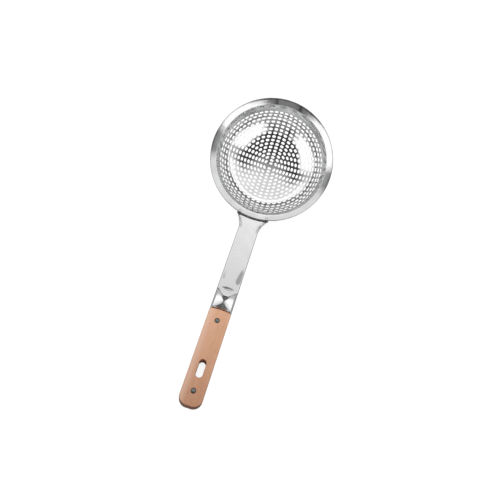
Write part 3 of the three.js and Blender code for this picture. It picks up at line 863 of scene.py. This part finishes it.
class Nodes:
    """A node tree of a material or the world, with short ways to add and join its nodes."""

    def __init__(self, owner):
        owner.use_nodes = True
        self.owner = owner
        self.tree = owner.node_tree
        self.shader = self.tree.nodes.get("Principled BSDF")

    def add(self, kind, inputs=None, **settings):
        node = self.tree.nodes.new("ShaderNode" + kind)
        for key, value in settings.items():
            setattr(node, key, value)
        for key, value in (inputs or {}).items():
            self.put(node, key, value)
        return node

    def put(self, node, key, value):
        if isinstance(value, bpy.types.NodeSocket):
            self.tree.links.new(value, node.inputs[key])
        else:
            node.inputs[key].default_value = value

    def math(self, operation, *values):
        inputs = dict(enumerate(values))
        return self.add("Math", inputs, operation=operation).outputs[0]

    def times(self, first, *values):
        for value in values:
            first = self.math("MULTIPLY", first, value)
        return first

    def most(self, first, *values):
        for value in values:
            first = self.math("MAXIMUM", first, value)
        return first

    def away(self, value, middle):
        """Distance of a number from a middle value."""
        return self.math("ABSOLUTE", self.math("SUBTRACT", value, middle))

    def vector(self, operation, *values):
        """A number from one or two vectors."""
        inputs = dict(enumerate(values))
        return self.add("VectorMath", inputs, operation=operation).outputs["Value"]

    def facing(self, direction):
        """Cosine of the angle between the surface and a direction."""
        normal = self.add("TexCoord").outputs["Normal"]
        return self.vector("DOT_PRODUCT", normal, direction.normalized())

    def edge(self, value, start, end):
        """A soft step from 0 at start to 1 at end."""
        return self.span(value, 0.0, 1.0, start, end, "SMOOTHSTEP")

    def band(self, value, rise, fall):
        """1 between two soft steps and 0 outside them."""
        return self.times(self.edge(value, *rise), self.edge(value, *fall))

    def patch(self, off, along, side, start, end, strength):
        return self.times(self.edge(off, *side), self.band(along, start, end), strength)

    def own_frame(self, matrix):
        """Coordinates in the tool's or the handle's own frame, in metres."""
        return self.add("Mapping", {
            "Vector": self.add("TexCoord").outputs["Object"],
            "Location": matrix.to_translation(), "Rotation": matrix.to_euler(),
        }, vector_type="TEXTURE").outputs["Vector"]

    def on_handle(self, spot):
        """Millimetres across the handle, and along it from the flange's edge."""
        parts = self.add("SeparateXYZ", {"Vector": spot}).outputs
        return self.times(parts["X"], 1 / MM), self.times(parts["Y"], -1 / MM)

    def stretch(self, vector, scale):
        node = self.add("Mapping", {"Vector": vector, "Scale": scale})
        return node.outputs["Vector"]

    def noise(self, vector, scale, detail, roughness=0.5, stretch=None):
        node = self.add("TexNoise", {
            "Vector": self.stretch(vector, stretch) if stretch else vector,
            "Scale": scale, "Detail": detail, "Roughness": roughness,
        })
        return node.outputs["Fac"]

    def ramp(self, factor, stops):
        node = self.add("ValToRGB", {"Fac": factor})
        elements = node.color_ramp.elements
        while len(elements) < len(stops):
            elements.new(0.5)
        for element, (spot, colour) in zip(elements, stops):
            element.position = spot
            element.color = (*colour, 1.0)
        return node.outputs["Color"]

    def span(self, factor, low, high, start=0.0, end=1.0, kind="LINEAR"):
        node = self.add("MapRange", {
            "Value": factor, "From Min": start, "From Max": end, "To Min": low, "To Max": high,
        }, interpolation_type=kind)
        return node.outputs["Result"]

    def mix(self, factor, a, b, blend="MIX"):
        node = self.add("Mix", {MIX_FACTOR: factor}, data_type="RGBA", blend_type=blend)
        for index, value in zip(MIX_COLOURS, (a, b)):
            plain = not isinstance(value, bpy.types.NodeSocket)
            self.put(node, index, (*value, 1) if plain else value)
        return node.outputs[MIX_RESULT]

    def bump(self, height, distance, strength, **below):
        inputs = {"Height": height, "Distance": distance, "Strength": strength, **below}
        return self.add("Bump", inputs).outputs["Normal"]

    def surface(self, colour, roughness, normal, **constants):
        """Joins the shader's sockets, and sets those that are the same all over."""
        sockets = {"Base Color": colour, "Roughness": roughness, "Normal": normal, **constants}
        for key, value in sockets.items():
            self.put(self.shader, key, value)
        return self.owner


def material(name, matrix):
    n = Nodes(bpy.data.materials.new(name))
    return n, n.own_frame(matrix)


def grey(value, warm=0.0):
    return (value * (1 + warm), value, value * (1 - warm))


# A noise has scale, detail, roughness and stretch, a bump has distance and strength, and a soft step has
# a start and a full end. A patch has the soft steps of its side, start and end, and a strength. A fade has
# two values and where they are reached. NOISE_CORE and NOISE_BODY are the reach of a noise's values.
NOISE_CORE = (0.3, 0.7)
NOISE_BODY = (0.25, 0.75)
METAL = {"Metallic": 1.0}

# Steel of the bowl
BOWL_TONES = [(0.0, grey(0.66)), (1.0, grey(0.78, -0.005))]
BOWL_RINGS = (1500, 2)
BOWL_CLOUD = (45, 3)
BOWL_MARKS = (420, 4, 0.6, (1, 1, 0.4))
BOWL_ROUGHNESS = (0.05, 0.13)
BOWL_WAVE = (0.0012, 0.25)
BOWL_RING_BUMP = (0.00003, 0.2)
SPOT_UPWARD = (0.0, 0.2)
SPOT_RING = (0.9 * MM, 0.2 * MM)
SPOT_STRENGTH = 0.4
SPOT_TONE = grey(0.06)


def bowl_steel():
    n, spot = material("bowl_steel", tool_frame)
    flat = n.stretch(spot, (1, 1, 0))
    radius = n.vector("LENGTH", flat)
    rings = n.noise(n.add("CombineXYZ", {"X": radius}).outputs[0], *BOWL_RINGS)
    cloud = n.noise(spot, *BOWL_CLOUD)
    marks = n.noise(spot, *BOWL_MARKS)
    colour = n.ramp(n.span(cloud, 0.0, 1.0, *NOISE_CORE), BOWL_TONES)

    # Painted shade: dark rings round the two weld spots on the flange, standing in for the shaded rims of
    # their dimples
    spots = []
    for side in (-1, 1):
        angle = side * WELD_SPOT_ANGLE
        middle = Vector((math.sin(angle), -math.cos(angle), 0)) * WELD_SPOT_REACH * MM
        off = n.away(n.vector("DISTANCE", flat, middle), WELD_SPOT_RADIUS * MM)
        spots.append(n.edge(off, *SPOT_RING))
    upward = n.edge(n.facing(tool_frame.to_3x3().col[2]), *SPOT_UPWARD)
    dimple_shade = n.times(n.most(*spots), SPOT_STRENGTH, upward)
    colour = n.mix(dimple_shade, colour, SPOT_TONE)
    roughness = n.span(marks, *BOWL_ROUGHNESS, *NOISE_BODY)
    wave = n.bump(cloud, *BOWL_WAVE)
    return n.surface(colour, roughness, n.bump(rings, *BOWL_RING_BUMP, Normal=wave), **METAL)


# Steel of the strap and the tang, with places in millimetres across and along the handle
STRAP_TONES = [(0.0, grey(0.74)), (1.0, grey(0.81))]
STRAP_LINES = (2600, 2, 0.5, (1, 0.02, 1))
STRAP_CLOUD = (55, 3)
STRAP_ROUGHNESS = (0.2, 0.34)
STRAP_WAVE = (0.0006, 0.2)
STRAP_LINE_BUMP = (0.00003, 0.25)
DARKER_TONE = grey(0.66)
DARKER_GROWTH = (30, 125)
DARKER_END = (126, 116)
POLISHED = (118, 126)
POLISH = 0.55
PAINTED_SHADE_TONE = grey(0.04)
PAINTED_SHADE_COVER = 0.8
REFLECTED_WOOD_TONE = (0.30, 0.12, 0.06)
WARM_COVER = 0.8
WARM_SIDES = (8, 4)
WARM_START = (140.6, 142)

# Painted shade of the right dent, which the mesh doesn't have: a drop whose half width and middle follow
# its growth along the strap
RIGHT_GROWTH = (77, 99)
RIGHT_POWER = 0.6
RIGHT_HALF = (3.5, 0.3)
RIGHT_MIDDLE = (-1.7, 11.2)
RIGHT_LOW_END = (96, 103.5)
RIGHT_LOW_SHARE = 0.95
RIGHT_PATCH = ((1.1, 0.7), (76, 86), (104, 102), 0.62)
# Painted shade of the smaller left dent
LEFT_MIDDLE = -10.8
LEFT_PATCH = ((2.4, 1.2), (86, 97), (102, 99), 0.28)
FLARE_SIDES = (5.2, 2.0)
FLARE_END = (24, 15)
FLARE_PATCHES = (120, 2)
FLARE_PATCH_EDGE = (0.3, 0.6)
FLARE_STRENGTH = 0.65
SEAM_SIDES = (0.9 * GROOVE_HALF_WIDTH, 0.3 * GROOVE_HALF_WIDTH)
SEAM_STRENGTH = 1.25
RIM_SIDES = (1.6, 0.3)
RIM_FADE = (0.16, 0.3, -14, 14)
GAP_PATCH = ((0.9, -0.6), (tip_end, tip_end + 0.3), (pinch + 3, pinch - 1), 1.1)
FOLD_BOW = (0.1, 1.3)
FOLD_SIDES = (1.2, -0.8)
FOLD_START = (pinch - 1.5, pinch + 0.5)
FOLD_FADE = (0.74, 0.3, 4, 13)


def strap_painted_shade(n, spot, across, along):
    """Painted shade: dark dents by the tab, shade along the flare's edges and the rims, a painted shadow
    in the groove at the flange's edge, and shade in the gap and the valley between the ears.
    """
    aside = n.math("ABSOLUTE", across)
    # Painted shade of a dent on each side, the right one larger
    grown = n.span(along, 0.0, 1.0, *RIGHT_GROWTH)
    low_end = n.span(along, 0.0, RIGHT_LOW_SHARE, *RIGHT_LOW_END)
    low_end = n.math("SQRT", n.math("SUBTRACT", 1.0, n.times(low_end, low_end)))
    half = n.math("MULTIPLY_ADD", n.math("POWER", grown, RIGHT_POWER), *RIGHT_HALF)
    off = n.away(across, n.math("MULTIPLY_ADD", grown, *RIGHT_MIDDLE))
    right = n.patch(n.math("DIVIDE", off, n.times(half, low_end)), along, *RIGHT_PATCH)
    left = n.patch(n.away(across, LEFT_MIDDLE), along, *LEFT_PATCH)

    # Painted shade in patches along the flare's edges, and along the strap's rims, stronger towards the
    # right
    opened = n.span(along, 1.0, 0.0, FLARE_START, FLARE_START + FLARE_LENGTH)
    width = n.math("MULTIPLY_ADD", n.times(opened, opened), FLARE_HALF - STRAP_HALF, STRAP_HALF)
    inset = n.math("SUBTRACT", width, aside)
    patches = n.edge(n.noise(spot, *FLARE_PATCHES), *FLARE_PATCH_EDGE)
    flare = n.times(n.edge(inset, *FLARE_SIDES), n.edge(along, *FLARE_END), patches, FLARE_STRENGTH)
    rim = n.times(n.edge(inset, *RIM_SIDES), n.span(across, *RIM_FADE))

    # Painted shadow in the groove along the flange's edge
    bow = n.times(across, across, 0.5 / BOWL_RADIUS / math.cos(RISE))
    past = n.away(n.math("ADD", along, bow), GROOVE_PLACE)
    seam = n.times(n.edge(past, *SEAM_SIDES), SEAM_STRENGTH)

    # Painted shade in the gap under the tab's tip and in the valley between the ears
    reach = n.span(along, EAR_TIP, 0.0, tip_end, pinch)
    gap = n.patch(n.math("SUBTRACT", aside, reach), along, *GAP_PATCH)
    fallen = n.span(along, 0.0, GRIP_START - pinch, pinch, GRIP_START)
    reach = n.math("MULTIPLY_ADD", n.times(fallen, fallen), *FOLD_BOW)
    fold = n.edge(n.math("SUBTRACT", aside, reach), *FOLD_SIDES)
    fold = n.times(fold, n.edge(along, *FOLD_START), n.span(aside, *FOLD_FADE))
    return n.most(right, left, flare, rim, seam, gap, fold)


def strap_steel():
    n, spot = material("strap_steel", handle_frame)
    lines = n.noise(spot, *STRAP_LINES)
    cloud = n.noise(spot, *STRAP_CLOUD)
    colour = n.ramp(n.span(cloud, 0.0, 1.0, *NOISE_CORE), STRAP_TONES)
    across, along = n.on_handle(spot)
    # Darker along the strap towards the tab, fading out on the tab
    darker_to_tab = n.times(n.span(along, 0.0, 1.0, *DARKER_GROWTH), n.edge(along, *DARKER_END))
    colour = n.mix(darker_to_tab, colour, DARKER_TONE)
    # Painted shade on the strap, mixed over its own tone
    marks = n.times(strap_painted_shade(n, spot, across, along), PAINTED_SHADE_COVER)
    colour = n.mix(marks, colour, PAINTED_SHADE_TONE)

    # Painted reflection of the wood's warm tone on the steel at the ears' end
    sides = n.edge(n.math("ABSOLUTE", across), *WARM_SIDES)
    warm = n.times(sides, n.edge(along, *WARM_START), WARM_COVER)
    colour = n.mix(warm, colour, REFLECTED_WOOD_TONE)
    polish = n.span(n.edge(along, *POLISHED), 1.0, POLISH)
    roughness = n.times(n.span(lines, *STRAP_ROUGHNESS, *NOISE_BODY), polish)
    wave = n.bump(cloud, *STRAP_WAVE)
    return n.surface(colour, roughness, n.bump(lines, *STRAP_LINE_BUMP, Normal=wave), **METAL)


# Wood of the grip, with places in millimetres across and along the handle
BEND = (60, 2, 0.5, (1, 0.12, 1))
BEND_SHIFT = (-0.004, 0.004)
BANDS = (300, 4, 0.6, (1, 0.05, 0.6))
BAND_TONES = [(0.28, (0.63, 0.345, 0.212)), (0.5, (0.67, 0.375, 0.235)), (0.72, (0.70, 0.40, 0.258))]
STREAKS = (1900, 3, 0.55, (1, 0.06, 1))
STREAK_FADE = (0.0, 0.26, 0.45, 0.7)
STREAK_TONE = (0.50, 0.245, 0.14)
FLECKS = (2400, 1, 0.4, (1, 0.16, 1))
FLECK_FADE = (0.0, 0.4, 0.66, 0.74)
FLECK_TONE = (0.42, 0.19, 0.10)
WOOD_CLOUD = (30, 2, 0.5, (1, 0.3, 1))
WOOD_CLOUD_FADE = (0.0, 0.2, 0.35, 0.7)
WOOD_CLOUD_TONE = (0.80, 0.50, 0.35)
MOTTLE = (330, 3, 0.6, (1, 0.5, 1))
MOTTLE_FADE = (0.0, 0.5, 0.4, 0.68)
MOTTLE_SHADE = (0.86, 0.81, 0.76)
DEEP_BAND = ((-2, 5), (13, 8))
DEEP_COVER = 0.6
DEEP_SHADE = (0.93, 0.89, 0.82)
SHADE_TO_END_POWER = 1.1
SHADE_TO_END_TONE = (0.66, 0.60, 0.56)
PALE_EDGE = (-4, -13)
PALE_COVER = 0.8
PALE_TONES = ((0.70, 0.455, 0.34), (0.58, 0.375, 0.275))
END_FACING = (0.1, 0.6)
END_TONES = ((0.56, 0.30, 0.19), (0.40, 0.16, 0.09), (0.17, 0.075, 0.045))
END_CHANGES = ((160, 200), (236, 250))
WOOD_ROUGHNESS = (0.42, 0.58)
WOOD_SPECULAR = {"Specular IOR Level": 0.4}
STREAK_BUMP = (0.00012, 0.35)
FLECK_BUMP = (0.00006, 0.3)


def beech():
    n, spot = material("beech", handle_frame)
    bent = n.noise(spot, *BEND)
    shift = n.add("CombineXYZ", {"X": n.span(bent, *BEND_SHIFT)}).outputs[0]
    moved = n.add("VectorMath", {0: spot, 1: shift}, operation="ADD").outputs[0]
    bands = n.noise(moved, *BANDS)
    streaks = n.noise(moved, *STREAKS)
    cloud = n.noise(spot, *WOOD_CLOUD)
    flecks = n.noise(spot, *FLECKS)
    mottle = n.noise(spot, *MOTTLE)
    colour = n.ramp(bands, BAND_TONES)
    colour = n.mix(n.span(streaks, *STREAK_FADE), colour, STREAK_TONE)
    colour = n.mix(n.span(flecks, *FLECK_FADE), colour, FLECK_TONE)
    colour = n.mix(n.span(cloud, *WOOD_CLOUD_FADE), colour, WOOD_CLOUD_TONE)

    # Painted shade towards the end that the hand holds, and painted light along the left edge
    across, along = n.on_handle(spot)
    deep = n.times(n.band(across, *DEEP_BAND), DEEP_COVER)
    colour = n.mix(deep, colour, DEEP_SHADE, "MULTIPLY")
    colour = n.mix(n.span(mottle, *MOTTLE_FADE), colour, MOTTLE_SHADE, "MULTIPLY")
    shade_to_end = n.math("POWER", n.span(along, 0.0, 1.0, GRIP_START, GRIP_END), SHADE_TO_END_POWER)
    colour = n.mix(shade_to_end, colour, SHADE_TO_END_TONE, "MULTIPLY")
    lit_left_edge = n.times(n.edge(across, *PALE_EDGE), PALE_COVER)
    colour = n.mix(lit_left_edge, colour, n.mix(shade_to_end, *PALE_TONES))

    # End grain takes more oil. Its tone also steps darker along the grip to the far end: painted shade
    # where that end faces away from the light
    end_tone = END_TONES[0]
    for change, tone in zip(END_CHANGES, END_TONES[1:]):
        end_tone = n.mix(n.edge(along, *change), end_tone, tone)
    facing = n.math("ABSOLUTE", n.facing(handle_frame.to_3x3().col[1]))
    colour = n.mix(n.edge(facing, *END_FACING), colour, end_tone)
    grain = n.bump(streaks, *STREAK_BUMP)
    normal = n.bump(flecks, *FLECK_BUMP, Normal=grain)
    return n.surface(colour, n.span(bands, *WOOD_ROUGHNESS), normal, **WOOD_SPECULAR)


# Steel of the rivets and the welds
RIVET_CLOUD = (700, 3)
RIVET_TONES = [(0.3, (0.13, 0.145, 0.15)), (0.7, (0.23, 0.245, 0.25))]
RIVET_MARKS = (2500, 2, 0.5, (1, 0.2, 1))
RIVET_ROUGHNESS = (0.25, 0.45)
RIVET_BUMP = (0.00005, 0.3)
WELD_CLOUD = (900, 4, 0.6)
WELD_TONES = [
    (0.3, (0.05, 0.048, 0.045)), (0.55, (0.14, 0.137, 0.133)), (0.75, (0.34, 0.34, 0.34)),
]
WELD_ROUGHNESS = (0.3, 0.55)
WELD_BUMP = (0.0002, 0.5)


def rivet_steel():
    n, spot = material("rivet_steel", handle_frame)
    colour = n.ramp(n.noise(spot, *RIVET_CLOUD), RIVET_TONES)
    marks = n.noise(spot, *RIVET_MARKS)
    roughness = n.span(marks, *RIVET_ROUGHNESS, *NOISE_BODY)
    return n.surface(colour, roughness, n.bump(marks, *RIVET_BUMP), **METAL)


def weld_steel():
    n, spot = material("weld_steel", tool_frame)
    cloud = n.noise(spot, *WELD_CLOUD)
    roughness = n.span(cloud, *WELD_ROUGHNESS, *NOISE_BODY)
    return n.surface(n.ramp(cloud, WELD_TONES), roughness, n.bump(cloud, *WELD_BUMP), **METAL)


bowl_look = bowl_steel()
strap_look = strap_steel()
wood_look = beech()
rivet_look = rivet_steel()
weld_look = weld_steel()

place("bowl", bowl_shape(), tool_frame, bowl_look, "strainer_bowl")
place("strap", strap_shape(), handle_frame, strap_look, "neck_strap")
place("tang", tang_shape(), handle_frame, strap_look, "handle_tang")
front = scale_shape(TANG_TOP + SEAT_GAP, GRIP_TOP)
back = scale_shape(TANG_LOW - SEAT_GAP, GRIP_LOW)
place("front_wood", front, handle_frame, wood_look, "front_scale")
place("back_wood", back, handle_frame, wood_look, "back_scale")
for name, along in (("upper_rivet", UPPER_RIVET), ("lower_rivet", LOWER_RIVET)):
    pin = turned_shape(pin_profile(), along)
    tube = turned_shape(tube_profile(), along)
    place(name + "_pin", pin, handle_frame, rivet_look, name)
    place(name + "_tube", tube, handle_frame, rivet_look, name + "_cap")
place("weld_left", weld_shape(-1), tool_frame, weld_look, "rim_weld_left")
place("weld_right", weld_shape(1), tool_frame, weld_look, "rim_weld_right")

# Floor: pale, white to the camera, and it keeps the shadow. The steel shows it fully by the bowl only.
FLOOR_HALF = 30.0
FLOOR_GLOW = 0.86
FLOOR_DIM = 0.1
FLOOR_MIDDLE = 0.3
FLOOR_FULL_REACH = 0.15
FLOOR_DIM_REACH = 0.31
FLOOR_SIDE_STRETCH = 1.25
FLOOR_GREY = 0.30
floor_mesh = bpy.data.meshes.new("floor")
corners = [(-1, -1), (1, -1), (1, 1), (-1, 1)]
floor_mesh.from_pydata([(FLOOR_HALF * x, FLOOR_HALF * y, 0) for x, y in corners], [], [(0, 1, 2, 3)])
floor = put_in_scene("floor", floor_mesh)
f = Nodes(bpy.data.materials.new("floor"))
f.tree.nodes.remove(f.shader)
paths = f.add("LightPath").outputs
spot = f.stretch(f.add("TexCoord").outputs["Object"], (FLOOR_SIDE_STRETCH, 1, 0))
away = f.vector("DISTANCE", spot, (0, FLOOR_MIDDLE, 0))
near = f.edge(away, FLOOR_DIM_REACH, FLOOR_FULL_REACH)
mirrored = f.times(paths["Is Glossy Ray"], f.span(near, FLOOR_DIM, FLOOR_GLOW))
direct = f.times(f.most(paths["Is Camera Ray"], paths["Is Transmission Ray"]), FLOOR_GLOW)
matte = f.add("BsdfDiffuse", {"Color": (*grey(FLOOR_GREY), 1)})
shine = f.add("Emission", {"Color": (1, 1, 1, 1), "Strength": f.most(mirrored, direct)})
total = f.add("AddShader", {0: matte.outputs[0], 1: shine.outputs[0]})
f.tree.links.new(total.outputs[0], f.tree.nodes["Material Output"].inputs["Surface"])
floor_mesh.materials.append(f.owner)

# World: a dim studio with soft white panels, drawn on the sky as it is seen along the bowl's axis.
# Places are in degrees from that axis: in all (zenith), to the tool's right, and away from the grip
# (ahead). A post's place is right over ahead. Camera and transmission rays see plain white, and the
# steel shows the panels and the gaps between them.
DIM = 0.06
FRONT_LEVEL = 0.25
FRONT_EDGE = (-26, -33)
POSTS = ((0.31, (0.02, 0.09)), (-0.285, (-0.03, 0.09)))
NEAREST_AHEAD = -1.0
SIDE_LEVEL = 0.6
SIDE_EDGE = (25, 62)
FAR_LEVEL = 0.95
FAR_HIGH = 0.4
FAR_HIGH_EDGE = (58, 65)
FAR_LOW = 0.43
FAR_LOW_EDGE = (74, 84)
FAR_BEND = (6, 24)
FAR_START = (-6.0, 13.0)
FAR_FULL = (30.0, 29.0)
LEFT_PANEL = ((-18, -33), (-78, -62), (14, 1), 1.4)
RIGHT_PANEL = ((14, 33), (-68, -52), (8, -5), 1.4)
world = bpy.data.worlds.new("studio")
bpy.context.scene.world = world
w = Nodes(world)
toward = w.add("TexCoord").outputs["Generated"]
turned = w.add("Mapping", {
    "Vector": toward, "Rotation": tool_frame.to_euler(),
}, vector_type="TEXTURE").outputs["Vector"]
parts = w.add("SeparateXYZ", {"Vector": turned}).outputs
zenith = w.math("DEGREES", w.math("ARCCOSINE", parts["Z"]))
heading = w.math("ARCTAN2", parts["Y"], parts["X"])
right = w.times(zenith, w.math("COSINE", heading))
ahead = w.times(zenith, w.math("SINE", heading))
wide = w.math("ABSOLUTE", right)

# Front panel, with a dark post on each side of its middle
lean = w.math("DIVIDE", right, w.math("MINIMUM", ahead, NEAREST_AHEAD))
posts = [w.edge(w.away(lean, middle), *side) for middle, side in POSTS]
front_panel = w.times(w.edge(ahead, *FRONT_EDGE), *posts, FRONT_LEVEL)

# Far panel, whose near edge bends away at the sides
bend = w.edge(wide, *FAR_BEND)
far_start = w.span(bend, *FAR_START)
far_depth = w.math("SUBTRACT", w.span(bend, *FAR_FULL), far_start)
far_cover = w.math("DIVIDE", w.math("SUBTRACT", ahead, far_start), far_depth)
far_shade = w.math("MULTIPLY_ADD", w.edge(zenith, *FAR_HIGH_EDGE), FAR_HIGH, FAR_LEVEL)
far_shade = w.times(far_shade, w.span(w.edge(zenith, *FAR_LOW_EDGE), 1.0, FAR_LOW))
far_panel = w.times(w.edge(far_cover, 0, 1), far_shade)

# Left and right panels, whose inner edges are shifted step by step
INNER_SHIFTS = ((ahead, -30, 0, 4.0), (zenith, 31, 38, -5.0), (zenith, 42, 54, 9.0))
beyond = 0.0
for value, start, full, shift in INNER_SHIFTS:
    beyond = w.math("MULTIPLY_ADD", w.edge(value, start, full), shift, beyond)
left_panel = w.patch(w.math("ADD", right, beyond), ahead, *LEFT_PANEL)
right_panel = w.patch(w.math("SUBTRACT", right, beyond), ahead, *RIGHT_PANEL)
side_panels = w.times(w.edge(wide, *SIDE_EDGE), SIDE_LEVEL)

panels = w.most(front_panel, side_panels, far_panel, left_panel, right_panel, DIM)
paths = w.add("LightPath").outputs
light = w.most(panels, paths["Is Camera Ray"], paths["Is Transmission Ray"])
w.put(w.tree.nodes["Background"], "Strength", light)
w.put(w.tree.nodes["Background"], "Color", (1, 1, 1, 1))

# Soft lamp over the far side of the bowl. The polished steel shows the panels, not the lamp.
LAMP_SIZE = 0.9
LAMP_PLACE = (-120.0, 420.0, 900.0)
LAMP_AIM = (0.0, -120.0, 0.0)
LAMP_RADIANCE = 1.5
lamp = bpy.data.lights.new("soft_lamp", "AREA")
lamp.size = LAMP_SIZE
lamp.energy = LAMP_RADIANCE * math.pi * LAMP_SIZE ** 2
box = put_in_scene("soft_lamp", lamp)
box.location = tool_frame @ Vector(LAMP_PLACE)
way = box.location - tool_frame @ Vector(LAMP_AIM)
box.rotation_euler = way.to_track_quat("Z", "Y").to_euler()
box.visible_camera = False
box.visible_glossy = False

# Camera: square to the flange's plane, with the tool leaning in the picture
CAMERA_PLACE = (11.2, -131.3, 640.0)
CAMERA_LEAN = math.radians(18.25)
FRAME_WIDTH = 705.6
SENSOR_WIDTH = 36
cam_data = bpy.data.cameras.new("camera")
cam_data.sensor_width = SENSOR_WIDTH
cam_data.lens = SENSOR_WIDTH * CAMERA_PLACE[2] / FRAME_WIDTH
camera = put_in_scene("camera", cam_data)
turn = tool_frame.to_3x3().normalized().to_4x4()
camera.matrix_world = (
    Matrix.Translation(tool_frame @ Vector(CAMERA_PLACE))
    @ turn
    @ Matrix.Rotation(CAMERA_LEAN, 4, "Z")
)
bpy.context.scene.camera = camera
bpy.context.scene.view_settings.view_transform = "Standard"

bpy.context.view_layer.update()
